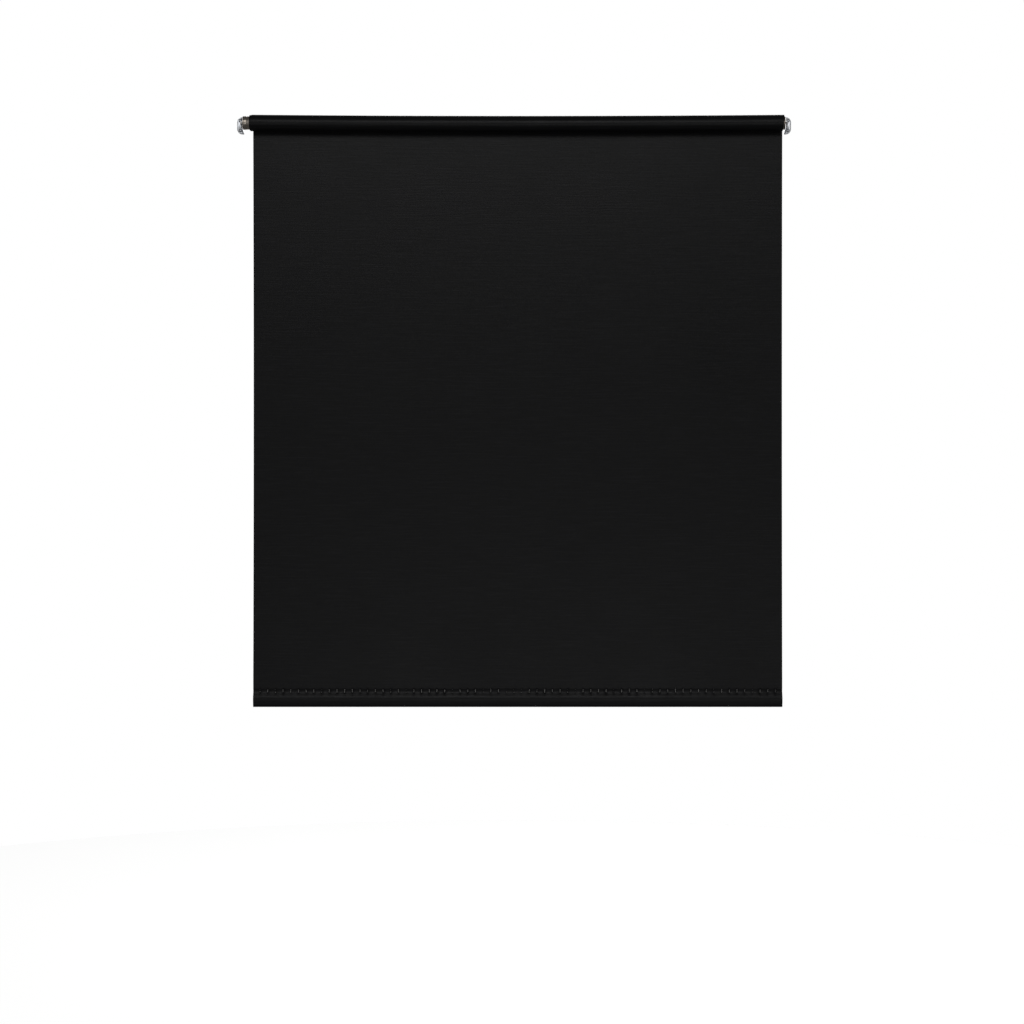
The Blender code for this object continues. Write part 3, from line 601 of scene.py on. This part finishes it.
def wood_screw(name, node):
    """A pan-head screw: cross recess, plain neck, and a thread that runs out to a sharp point."""
    low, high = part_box(node)
    x, z = (low.x + high.x) / 2, (low.z + high.z) / 2
    head_radius = (high.x - low.x) / 2
    top, point = low.y, high.y
    head_height = 0.0017
    under = top + head_height
    # The head is drawn out from a circle, as the turned pieces are, but along Y.
    steps = [
        (top + head_height * (1 - math.cos(angle)), head_radius * math.sin(angle))
        for angle in np.linspace(0.25, 1.45, 8)
    ]
    steps += [(under - 0.0001, head_radius), (under, head_radius - 0.0001), (under, 0.0016)]
    bpy.ops.object.select_all(action="DESELECT")
    y, radius = steps[0]
    bpy.ops.mesh.primitive_circle_add(
        vertices=32, radius=radius, location=(x, y, z), rotation=(math.pi / 2, 0, 0), fill_type="NGON"
    )
    made = bpy.context.object
    made.name = name
    set_place(made)
    open_up(made)
    pick(made, "edges", lambda e: True)
    for next_y, next_radius in steps[1:]:
        bpy.ops.mesh.extrude_edges_move(TRANSFORM_OT_translate={"value": (0, next_y - y, 0)})
        share = next_radius / radius
        bpy.ops.transform.resize(value=(share, 1, share), center_override=(x, next_y, z))
        y, radius = next_y, next_radius
    bpy.ops.mesh.edge_face_add()
    bpy.ops.mesh.select_all(action="SELECT")
    bpy.ops.mesh.normals_make_consistent(inside=False)
    close_up()
    for turn in (0, 1):
        arm = (0.0016, 0.0004) if turn else (0.0004, 0.0016)
        cross = block(
            "recess", (x - arm[0], top - 0.001, z - arm[1]), (x + arm[0], top + 0.0012, z + arm[1])
        )
        open_up(cross)
        pick(cross, "faces", lambda f: f.normal.y > 0.9)
        bpy.ops.transform.resize(value=(0.35, 1, 0.35), center_override=(x, 0, z))
        close_up()
        take_away(made, cross)
    soften(made, 0.00012, 2, 35)
    # The shank: its radius rises to a crest once a turn, and the crest climbs along it.
    pitch, neck, around = 0.0014, 0.0016, 20
    length = point - under
    rows = []
    count = 120
    for i in range(count + 1):
        along = length * i / count
        taper = min(1.0, max(0.02, (length - along) / 0.004))
        row = []
        for j in range(around):
            angle = 2 * math.pi * j / around
            phase = (along / pitch - j / around) % 1
            crest = max(0.0, 1 - abs(phase - 0.5) / 0.28) * min(1.0, max(0.0, (along - 0.003) / 0.001))
            r = (0.00115 + 0.00045 * crest) * taper if along > 0.003 else neck - 0.0004 * (along > 0.0027)
            row.append((x + r * math.cos(angle), under - 0.0002 + along, z + r * math.sin(angle)))
        rows.append(row)
    shank = woven("shank", rows, closed=True)
    open_up(shank)
    for i in (0, count):
        y = rows[i][0][1]
        pick(shank, "edges", lambda e: e.is_boundary and abs(middle(e).y - y) < 1e-6)
        bpy.ops.mesh.edge_face_add()
    bpy.ops.mesh.select_all(action="SELECT")
    bpy.ops.mesh.normals_make_consistent(inside=False)
    close_up()
    shade(shank, 50)
    bpy.ops.object.select_all(action="DESELECT")
    shank.select_set(True)
    made.select_set(True)
    bpy.context.view_layer.objects.active = made
    bpy.ops.object.join()
    return dress(made, ZINC, "brackets", "zinc_plate", node)


# ---------------------------------------------------------------- spring motor


def flat_spindle():
    """A round bar with two flats milled down to the spear that the bracket's slot holds."""
    tip, end = SPINDLE_LOW.x, SPINDLE_HIGH.x
    made = rod("flat_spindle", (tip, AXIS_Y, 0), (end, AXIS_Y, 0), SPINDLE_RADIUS, 56)
    shoulder = (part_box("left_bracket")[1].x + FERRULE_LOW.x) / 2
    for side in (-1, 1):
        near, far = AXIS_Y + side * SPEAR_THICK / 2, AXIS_Y + side * 0.01
        flat = block("flat", (tip - 0.005, min(near, far), -0.01), (shoulder, max(near, far), 0.01))
        take_away(made, flat)
    # The spear's two corners are cut back so that it finds its slot.
    open_up(made)
    pick(
        made,
        "edges",
        lambda e: runs_along(e, 1) and abs(middle(e).x - tip) < 1e-5 and abs(middle(e).z) > 0.002,
    )
    bpy.ops.mesh.bevel(offset=0.0008, segments=3, affect="EDGES")
    close_up()
    soften(made, 0.00015, 2, 30)
    return dress(made, NICKEL, "brackets", "nickel_plate", "spear_spindle")


def close_wound_spring():
    """Round wire wound turn against turn on the arbor."""
    wire = 0.0007
    coil = (SPRING_HIGH.z - SPRING_LOW.z) / 2 - wire
    start, end = SPRING_LOW.x + wire, SPRING_HIGH.x - wire
    pitch = 0.00152
    turns = int((end - start) / pitch)
    steps, around = 18, 6
    rows = []
    for i in range(turns * steps + 1):
        angle = 2 * math.pi * i / steps
        x = start + (end - start) * i / (turns * steps)
        out_y, out_z = math.cos(angle), math.sin(angle)
        row = []
        for j in range(around):
            turn = 2 * math.pi * j / around
            r = coil + wire * math.cos(turn)
            row.append((x + wire * math.sin(turn), AXIS_Y + r * out_y, r * out_z + sag(x)))
        rows.append(row)
    made = woven("close_wound_spring", rows, closed=True)
    open_up(made)
    pick(made, "edges", lambda e: e.is_boundary)
    bpy.ops.mesh.edge_face_add()
    bpy.ops.mesh.select_all(action="SELECT")
    bpy.ops.mesh.normals_make_consistent(inside=False)
    close_up()
    shade(made, 75)
    return dress(made, SPRING_STEEL, "brackets", "bare_steel", "torsion_spring")


# ---------------------------------------------------------------- roller


def roller_shell():
    """Thin steel tube with its rims rolled smooth."""
    left, right = TUBE_LOW.x, TUBE_HIGH.x
    bore = TUBE_RADIUS - TUBE_WALL
    made = turned(
        "roller_shell",
        [(left, TUBE_RADIUS), (right, TUBE_RADIUS), (right, bore), (left, bore)],
        ring=True,
    )
    hang(made, 24)
    soften(made, 0.0002, 2, 40)
    return dress(made, NICKEL, "roller", "nickel_plate", "roller_tube")


def collar_ferrule():
    """A drawn collar with a beaded lip and a groove, on a plug that grips the tube."""
    mouth, plug_end = FERRULE_LOW.x, FERRULE_HIGH.x
    back = mouth + 0.0062
    floor = mouth + 0.0043
    inside = COLLAR_RADIUS - 0.0012
    plug = TUBE_RADIUS - TUBE_WALL - 0.00015
    outline = [
        (mouth, COLLAR_RADIUS - 0.00035),
        (mouth + 0.00035, COLLAR_RADIUS),
        (mouth + 0.0016, COLLAR_RADIUS),
        (mouth + 0.0019, COLLAR_RADIUS - 0.00035),
        (mouth + 0.0024, COLLAR_RADIUS - 0.00035),
        (mouth + 0.0027, COLLAR_RADIUS - 0.0001),
        (back, COLLAR_RADIUS - 0.0001),
        (back, plug),
        (plug_end, plug),
        (plug_end, 0.00475),
        (floor, 0.00475),
        (floor, inside),
        (mouth, inside),
    ]
    made = turned("collar_ferrule", outline, ring=True, sides=80)
    soften(made, 0.00012, 2, 30)
    return dress(made, NICKEL, "roller", "nickel_plate", "left_ferrule")


def guard_washer():
    """A pressed washer with a shallow dish, staked in the collar's mouth."""
    start, end = GUARD_LOW.x, GUARD_HIGH.x
    outer = (GUARD_HIGH.z - GUARD_LOW.z) / 2
    outline = [
        (start, outer),
        (end, outer),
        (end, 0.0042),
        (start + 0.00025, 0.0042),
        (start + 0.00025, outer - 0.0019),
        (start, outer - 0.0014),
    ]
    made = turned("guard_washer", outline, ring=True, sides=64)
    soften(made, 0.0001, 2, 25)
    return dress(made, NICKEL, "roller", "nickel_plate", "pawl_guard")


def pressed_cap():
    """The right end's cap: a disc with a rolled rim and a raised hub round its pin."""
    back, front = CAP_LOW.x, CAP_HIGH.x
    face = front - 0.0008
    bore = PIN_RADIUS + 0.00015
    outline = [
        (back, CAP_RADIUS - 0.0002),
        (back + 0.0003, CAP_RADIUS),
        (face - 0.0002, CAP_RADIUS),
        (face, CAP_RADIUS - 0.0003),
        (face, CAP_RADIUS - 0.0011),
        (face - 0.00025, CAP_RADIUS - 0.0015),
        (face - 0.00025, 0.0042),
        (face, 0.0034),
        (front - 0.0001, 0.0030),
        (front, 0.0028),
        (front, bore),
        (back, bore),
    ]
    made = turned("pressed_cap", outline, ring=True, sides=72)
    soften(made, 0.00008, 2, 25)
    return dress(made, NICKEL, "roller", "nickel_plate", "right_end_cap")


def round_pin():
    tip = PIN_HIGH.x
    outline = [
        (PIN_LOW.x, PIN_RADIUS - 0.0003),
        (PIN_LOW.x + 0.0003, PIN_RADIUS),
        (tip - 0.00056, PIN_RADIUS),
        (tip - 0.0002, PIN_RADIUS - 0.0003),
        (tip, PIN_RADIUS - 0.0007),
    ]
    made = turned("round_pin", outline, ring=False, sides=40)
    soften(made, 0.00008, 2, 20)
    return dress(made, NICKEL, "roller", "nickel_plate", "gudgeon_pin")


def thicken(made):
    """Gives a sheet the cloth's thickness, half on each side."""
    wall = made.modifiers.new("thickness", "SOLIDIFY")
    wall.thickness = CLOTH_THICK
    wall.offset = 0.0


def edge_drift(turns_from_outside):
    """How far left of the hanging cloth's edge a layer lies: the inner ones were wound askew."""
    inner = 0.0036 * (1 - math.exp(-turns_from_outside / 1.1))
    slow, quick = math.sin(turns_from_outside * 5.1), math.sin(turns_from_outside * 13.7)
    return -inner + 0.00016 * slow + 0.0001 * quick


def wound_layers():
    """The cloth round the tube in one long spiral, layer on layer."""
    outer = ROLL_RADIUS - 0.00066
    inner = TUBE_RADIUS + 0.00030
    turns = (outer - inner) / CLOTH_PITCH
    steps = 40
    count = int(turns * steps)
    columns = np.linspace(CLOTH_LEFT, CLOTH_RIGHT, 27)
    rows, lengths = [], []
    length = 0.0
    for i in range(count + 1):
        turn = i / steps
        radius = outer - CLOTH_PITCH * turn
        angle = math.radians(20) + 2 * math.pi * turn
        drift = edge_drift(turn + 1.05)
        rows.append(
            [
                (
                    x + drift,
                    AXIS_Y + radius * math.cos(angle),
                    radius * math.sin(angle) + sag(x),
                )
                for x in columns
            ]
        )
        lengths.append(0.1 + length)
        length += 2 * math.pi * radius / steps
    made = woven("wound_layers", rows, lengths)
    thicken(made)
    apply_all(made)
    shade(made)
    dress(made, CLOTH, "roller", "vinyl_cloth", "wound_cloth")
    return made


# ---------------------------------------------------------------- hanging cloth and hem


def hanging_cloth():
    """The free cloth: once round the outside of the roll, off its back, and straight down to the
    seam, a little narrower half way than at its ends."""
    radius = ROLL_RADIUS - 0.00012
    steps = 44
    wrap = math.radians(378)
    leave_y = AXIS_Y + radius
    # A column close to each edge, and a row close to the seam, keep the thin rim out of the shading.
    columns = [0.0, 0.0005, *np.linspace(0.01, 0.99, 45), 0.9995, 1.0]
    rows, lengths = [], []
    length = 0.0
    for i in range(steps + 1):
        angle = wrap * (1 - i / steps)
        r = radius - CLOTH_PITCH * angle / (2 * math.pi)
        drift = edge_drift(angle / (2 * math.pi)) + 0.0012 * math.sin(min(angle, math.pi))
        row = []
        for share in columns:
            x = CLOTH_LEFT + (CLOTH_RIGHT - CLOTH_LEFT) * share
            row.append((x + drift, AXIS_Y + r * math.cos(angle), r * math.sin(angle) + sag(x)))
        rows.append(row)
        lengths.append(length)
        length += wrap * r / steps
    # Below the roll, each point's share of the hem's travel is its share of the way down. The
    # cloth leans back by under a millimetre, which is what tells the two apart when it moves.
    lean = HEM_Y - leave_y
    down = 70
    for share_down in [*(np.arange(1, down + 1) / down)[:-1], 1 - 0.0001, 1.0]:
        back = 0.5 - math.sin(math.asin(1 - 2 * share_down) / 3)
        waist = math.sin(math.pi * min(1.0, share_down * 1.02)) ** 0.8
        row = []
        for share in columns:
            x = CLOTH_LEFT + (CLOTH_RIGHT - CLOTH_LEFT) * share
            side = 2 * share - 1
            narrow = 0.0009 if side < 0 else 0.0006
            x -= side * narrow * waist * abs(side) ** 3
            z = sag(x) + (SEAM_TOP - sag(x)) * share_down
            row.append((x, leave_y + lean * back, z))
        rows.append(row)
        lengths.append(length + (0 - SEAM_TOP) * share_down)
    made = woven("hanging_cloth_sheet", rows, lengths)
    shade(made)
    dress(made, CLOTH, None, "vinyl_cloth", "hanging_cloth")
    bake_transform(made)
    thicken(made)
    return made


def seam_and_belly():
    """(y, z) down the front: from the cloth into the groove that the seam draws, then out over the
    slat in a loose belly; y counts from the middle of the slat."""
    above_foot = [
        (0.03450, 0.0), (0.03340, 0.00003), (0.03230, 0.00010), (0.03120, 0.00022),
        (0.03040, 0.00035), (0.02970, 0.00050), (0.02910, 0.00065), (0.02850, 0.00078),
        (0.02790, 0.00087), (0.02740, 0.00090), (0.02690, 0.00089), (0.02620, 0.00080),
        (0.02540, 0.00058), (0.02460, 0.00030), (0.02350, -0.00010), (0.02230, -0.00066),
        (0.02100, -0.00126), (0.01980, -0.00176), (0.01850, -0.00230), (0.01700, -0.0028),
        (0.01540, -0.00310), (0.01330, -0.00315), (0.01120, -0.00300), (0.00910, -0.00275),
        (0.00720, -0.0025), (0.00540, -0.00222), (0.00380, -0.00198), (0.00240, -0.00172),
        (0.00120, -0.0013), (0.00040, -0.0007),
    ]  # fmt: skip
    foot = HEM_FOOT + CLOTH_THICK / 2
    tall = (SEAM_TOP - foot) / above_foot[0][0]
    return [(y, foot + up * tall) for up, y in above_foot]


def groove_at(z):
    front = seam_and_belly()[::-1]
    return float(np.interp(z, [point[1] for point in front], [point[0] for point in front]))


def pocket_path():
    """The front's path, then round the slat's foot and up behind it to the cut edge."""
    foot = HEM_FOOT + CLOTH_THICK / 2
    behind = [
        (0.0007, 0.0004), (0.0013, 0.0012), (0.0018, 0.0024), (0.0021, 0.0050), (0.0022, 0.0120),
        (0.0022, 0.0200), (0.0021, 0.0240), (0.0020, 0.0262),
    ]  # fmt: skip
    seam_foot = foot + 0.0274
    up_behind = []
    for share in np.linspace(0, 0.94, 6):
        z = seam_foot + (SEAM_TOP - seam_foot) * share
        up_behind.append((groove_at(z) + 1.4 * CLOTH_THICK, z))
    return seam_and_belly() + [(0.0, foot)] + [(y, foot + up) for y, up in behind] + up_behind


def stitch_places():
    count = int((CLOTH_RIGHT - CLOTH_LEFT) / STITCH_PITCH) - 1
    start = -count * STITCH_PITCH / 2
    return [start + i * STITCH_PITCH for i in range(count + 1)]


def hem_fold():
    """The cloth folded round the slat and caught by the seam, puckered between its stitches, with a
    pit where each stitch goes in."""
    path = pocket_path()
    fronts = len(seam_and_belly())
    stitches = np.array(stitch_places())
    steps = np.array([-0.0050, -0.0024, -0.0012, -0.0006, -0.0002, 0.0002, 0.0006, 0.0012, 0.0024, 0.0050])
    xs = np.concatenate([[CLOTH_LEFT], (stitches[:, None] + steps).ravel(), [CLOTH_RIGHT]])
    away = np.min(np.abs(xs[:, None] - stitches[None, :]), axis=1)
    nearest = np.argmin(np.abs(xs[:, None] - stitches[None, :]), axis=1)
    # Each stitch is drawn tight in its own measure.
    tight = np.array([chance.uniform(0.4, 1.5) for _ in stitches])[nearest]
    pull = tight * np.exp(-((away / 0.0024) ** 2))
    pit = tight * np.exp(-((away / 0.0009) ** 2))
    slow = [
        0.5 * math.sin(61 * x + 1.3) + 0.3 * math.sin(143 * x) + 0.4 * math.sin(229 * x + 2)
        for x in xs
    ]
    quick = [0.5 * math.sin(611 * x + 1) + 0.5 * math.sin(883 * x + 2) for x in xs]
    low, high = STITCH_FOOT, STITCH_HEAD
    rows, lengths = [], []
    length = 0.0
    previous = None
    for index, (y, z) in enumerate(path):
        at_seam = math.exp(-(((z - low - 0.002) / 0.0035) ** 2))
        below = math.exp(-(((z - low + 0.0026) / 0.0026) ** 2))
        holes = math.exp(-(((z - low) / 0.0010) ** 2)) + math.exp(-(((z - high) / 0.0008) ** 2))
        # Both layers of the seam are drawn the same way; only the pocket swells apart.
        outward = -1.0 if index < fronts or z > low - 0.001 else 1.0
        top = min(1.0, (SEAM_TOP - z) / 0.002)
        row = []
        for x, hold, hole, wave, ripple in zip(xs, pull, pit, slow, quick):
            bulge = 0.0005 * at_seam * (0.3 - hold) + 0.0002 * below * (0.3 - hold)
            bulge += 0.00012 * wave * (below + at_seam) + 0.0002 * ripple * at_seam
            bulge -= 0.0005 * hole * holes
            row.append((x, HEM_Y + y + outward * bulge * top, z))
        rows.append(row)
        if previous is not None:
            length += math.hypot(y - previous[0], z - previous[1])
        lengths.append(1.06 + length)
        previous = (y, z)
    made = woven("hem_fold", rows, lengths)
    thicken(made)
    apply_all(made)
    shade(made, 60)
    dress(made, CLOTH, "hem", "vinyl_cloth", "hem_pocket")
    return made


def slat_board():
    """A thin pine slat, planed, with its long edges rounded."""
    low, high = SLAT_LOW, SLAT_HIGH
    made = block("hem_slat_board", low, high)
    open_up(made)
    pick(made, "edges", lambda e: runs_along(e, 0))
    bpy.ops.mesh.bevel(offset=(high.y - low.y) * 0.46, segments=6, affect="EDGES")
    close_up()
    soften(made, 0.0003, 2, 40)
    return dress(made, PINE, "hem", "pine", "hem_slat")


def seam_stitches():
    """Each stitch stands up across the seam, bites into the cloth at both ends, and is drawn tight;
    behind the cloth one thread runs from stitch to stitch."""
    radius = 0.00028
    low, high = STITCH_FOOT, STITCH_HEAD
    around, steps = 6, 7
    pieces = []
    for x in stitch_places():
        lean = chance.uniform(-0.0005, 0.0005)
        length = chance.uniform(0.75, 1.04)
        shift = chance.uniform(-0.0005, 0.0005)
        # Many stitches are drawn almost out of sight into the cloth.
        proud = chance.choice((-1.1, -0.7, -0.3, 0.1, 0.4, 0.7, 0.9, 1.1))
        rows = []
        for i in range(steps + 1):
            share = i / steps
            rise = 1 - abs(2 * share - 1) ** 4
            z = low + (high - low) * (0.5 + (share - 0.5) * length) + shift
            y = HEM_Y + groove_at(z) + 0.0002 - CLOTH_THICK / 2 - (radius + 0.0004) * rise * proud
            rows.append(
                [
                    (
                        x + lean * (share - 0.5) + radius * math.cos(2 * math.pi * j / around),
                        y + radius * math.sin(2 * math.pi * j / around),
                        z,
                    )
                    for j in range(around)
                ]
            )
        stitch = woven("stitch", rows, closed=True)
        pieces.append(stitch)
    # The run behind, one ripple a stitch.
    places = stitch_places()
    xs = np.linspace(places[0] - 0.004, places[-1] + 0.004, (len(places) + 1) * 6 + 1)
    rows = []
    for x in xs:
        z = (low + high) / 2 + 0.0003 * math.sin(2 * math.pi * x / STITCH_PITCH)
        back = HEM_Y + groove_at(z) + CLOTH_THICK * 1.9
        rows.append(
            [
                (
                    x,
                    back + radius * (0.8 + math.cos(2 * math.pi * j / around)),
                    z + radius * math.sin(2 * math.pi * j / around),
                )
                for j in range(around)
            ]
        )
    pieces.append(woven("run", rows, closed=True))
    bpy.ops.object.select_all(action="DESELECT")
    for part in pieces:
        part.select_set(True)
    made = pieces[0]
    bpy.context.view_layer.objects.active = made
    bpy.ops.object.join()
    made.name = "seam_stitches"
    open_up(made)
    bpy.ops.mesh.select_mode(type="EDGE")
    bpy.ops.mesh.select_non_manifold(extend=False)
    bpy.ops.mesh.edge_face_add()
    bpy.ops.mesh.select_all(action="SELECT")
    bpy.ops.mesh.normals_make_consistent(inside=False)
    close_up()
    shade(made, 70)
    return dress(made, THREAD, "hem", "thread", "hem_thread")


# ---------------------------------------------------------------- everything made

stamped_bracket("left_stamped_bracket", "left_bracket", -1)
stamped_bracket("right_stamped_bracket", "right_bracket", 1)
for hand in ("left", "right"):
    for level in ("upper", "lower"):
        wood_screw(f"{hand}_{level}_wood_screw", f"{hand}_{level}_screw")

flat_spindle()
close_wound_spring()
roller_shell()
collar_ferrule()
guard_washer()
pressed_cap()
round_pin()

for node, name, rim, finish, slot, body, slices in (
    ("ratchet_wheel", "blanked_ratchet", 0.00012, STEEL, "bare_steel", "brackets", 0),
    ("upper_pawl", "upper_blanked_pawl", 0.0001, STEEL, "bare_steel", "upper_pawl", 0),
    ("lower_pawl", "lower_blanked_pawl", 0.0001, STEEL, "bare_steel", "lower_pawl", 0),
    ("upper_pawl_rivet", "upper_rivet", 0.0001, STEEL, "bare_steel", "roller", 0),
    ("lower_pawl_rivet", "lower_rivet", 0.0001, STEEL, "bare_steel", "roller", 0),
    ("spindle_bush", "nylon_bush", 0.00015, NYLON, "nylon", "roller", 0),
    ("arbor_sleeve", "crimped_sleeve", 0.00012, STEEL, "bare_steel", "brackets", 0),
    ("spring_arbor", "arbor_dowel", 0.0004, PINE, "pine", "brackets", 16),
    ("spring_anchor_plug", "moulded_anchor_plug", 0.0002, NYLON, "nylon", "roller", 0),
    ("right_end_plug", "end_dowel_plug", 0.0004, PINE, "pine", "roller", 0),
    ("fixing_tape", "tape_strip", 0.0, TAPE, "tape", "roller", 24),
):
    made = merged_copy(node, name)
    if slices or node == "spring_anchor_plug":
        hang(made, slices)
    if rim:
        soften(made, rim, 2, 32)
    else:
        shade(made)
    dress(made, finish, body, slot, node)

wound_layers()
slat_board()
seam_stitches()
hem_fold()
hanging_cloth()

# ---------------------------------------------------------------- studio


def pale_floor():
    lowest = HEM_FOOT - HEM_FALL
    bpy.ops.object.select_all(action="DESELECT")
    bpy.ops.mesh.primitive_circle_add(
        vertices=96, radius=3.2, location=(0, 0, lowest - 0.06), fill_type="NGON"
    )
    floor = bpy.context.object
    floor.name = "pale_floor"
    set_place(floor)
    made, tree, shader = finish_named(
        "matte white paint, rolled", "#f1f1ef", 0.9, Emission_Color=colour("#ffffff"), Emission_Strength=0.8
    )
    place = add(tree, "ShaderNodeTexCoord").outputs["Object"]
    stipple = noise(tree, place, Scale=60.0, Detail=3.0)
    relief(tree, shader, stipple, 0.05, 0.001)
    floor.data.materials.append(made)
    floor.visible_diffuse = floor.visible_glossy = False


def soft_light(name, place, target, size, power):
    lamp = bpy.data.lights.new(name, "AREA")
    lamp.shape = "RECTANGLE"
    lamp.size, lamp.size_y = size
    lamp.energy = power
    made = bpy.data.objects.new(name, lamp)
    bpy.context.scene.collection.objects.link(made)
    made.location = place
    made.rotation_euler = (Vector(target) - Vector(place)).to_track_quat("-Z", "Y").to_euler()


def studio():
    pale_floor()
    soft_light("key softbox", (-0.4, -6.2, 2.65), (0, 0, -0.2), (4.6, 1.7), 41)
    soft_light("strip light", (0, -3.2, 0.72), (0, 0, 0), (2.6, 0.24), 1.7)
    soft_light("low front softbox", (0.3, -6.0, -1.9), (0, 0, -0.9), (4.0, 1.4), 13)
    soft_light("left fill", (-3.0, -1.6, 0.6), (0, 0, -0.4), (1.2, 1.6), 4)
    soft_light("right fill", (3.0, -1.8, 0.6), (0, 0, -0.4), (1.2, 1.6), 4)
    soft_light("back fill", (0.6, 3.2, 1.2), (0, 0, -0.4), (2.4, 1.4), 25)
    world = bpy.data.worlds.new("pale studio")
    bpy.context.scene.world = world
    world.use_nodes = True
    tree = world.node_tree
    # The room's walls are a middle grey, and its ceiling and floor are darker.
    way = add(tree, "ShaderNodeTexCoord").outputs["Generated"]
    height = add(tree, "ShaderNodeSeparateXYZ", {}, {"Vector": way}).outputs["Z"]
    slope = add(tree, "ShaderNodeMath", {}, {0: height}, operation="ABSOLUTE")
    level = add(
        tree,
        "ShaderNodeMapRange",
        {"From Min": 0.1, "From Max": 0.7, "To Min": 0.21, "To Max": 0.07},
        {"Value": slope.outputs[0]},
    )
    shown = add(tree, "ShaderNodeBackground", {"Color": colour("#ffffff"), "Strength": 1.0})
    cast = add(
        tree, "ShaderNodeBackground", {"Color": colour("#f4f5f7")}, {"Strength": level.outputs["Result"]}
    )
    seen = add(tree, "ShaderNodeLightPath")
    both = add(
        tree,
        "ShaderNodeMixShader",
        {},
        {0: seen.outputs["Is Camera Ray"], 1: cast.outputs[0], 2: shown.outputs[0]},
    )
    tree.links.new(both.outputs[0], tree.nodes["World Output"].inputs["Surface"])
    bpy.context.scene.view_settings.view_transform = "Standard"


def camera():
    lens = bpy.data.cameras.new("camera")
    lens.sensor_width = 36
    lens.lens = 61.03
    lens.clip_start, lens.clip_end = 0.05, 60
    made = bpy.data.objects.new("camera", lens)
    bpy.context.scene.collection.objects.link(made)
    made.location = (-0.0099, -3.00785, -0.669)
    made.rotation_euler = (math.pi / 2, 0, 0)
    bpy.context.scene.camera = made


studio()
camera()
